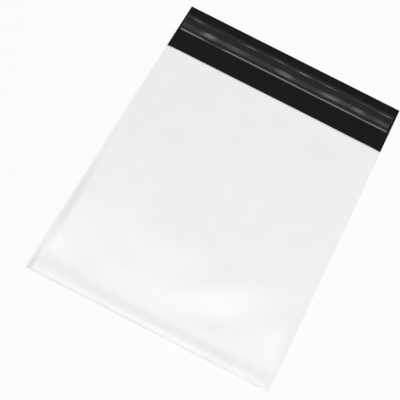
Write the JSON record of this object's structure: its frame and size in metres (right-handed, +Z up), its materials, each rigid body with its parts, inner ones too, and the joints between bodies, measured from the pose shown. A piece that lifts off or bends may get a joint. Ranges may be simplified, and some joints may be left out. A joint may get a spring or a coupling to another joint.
{
  "type": "poly mailer bag",
  "caption": "Flat mailing bag of thin film with a folded bottom, welded sides, an open mouth and a closure flap with a glue strip under a peel-off liner.",
  "frame": {"origin": "middle of the bag's outline on the surface it lies on, the underside of the back wall", "axes": "+X across the bag's width, +Y from the bottom fold to the flap's free edge, +Z up out of the front wall"},
  "size_m": [0.254, 0.3976, 0.0036],
  "materials": {
    "film": "smooth satin film, white on the outside and black on the inside and the flap's upper face",
    "glue": "pale amber tacky hot-melt band",
    "liner": "glossy black release film"
  },
  "bodies": {
    "root": {"bag_film": "film", "glue_strip": "glue", "release_liner": "liner"}
  },
  "joints": []
}
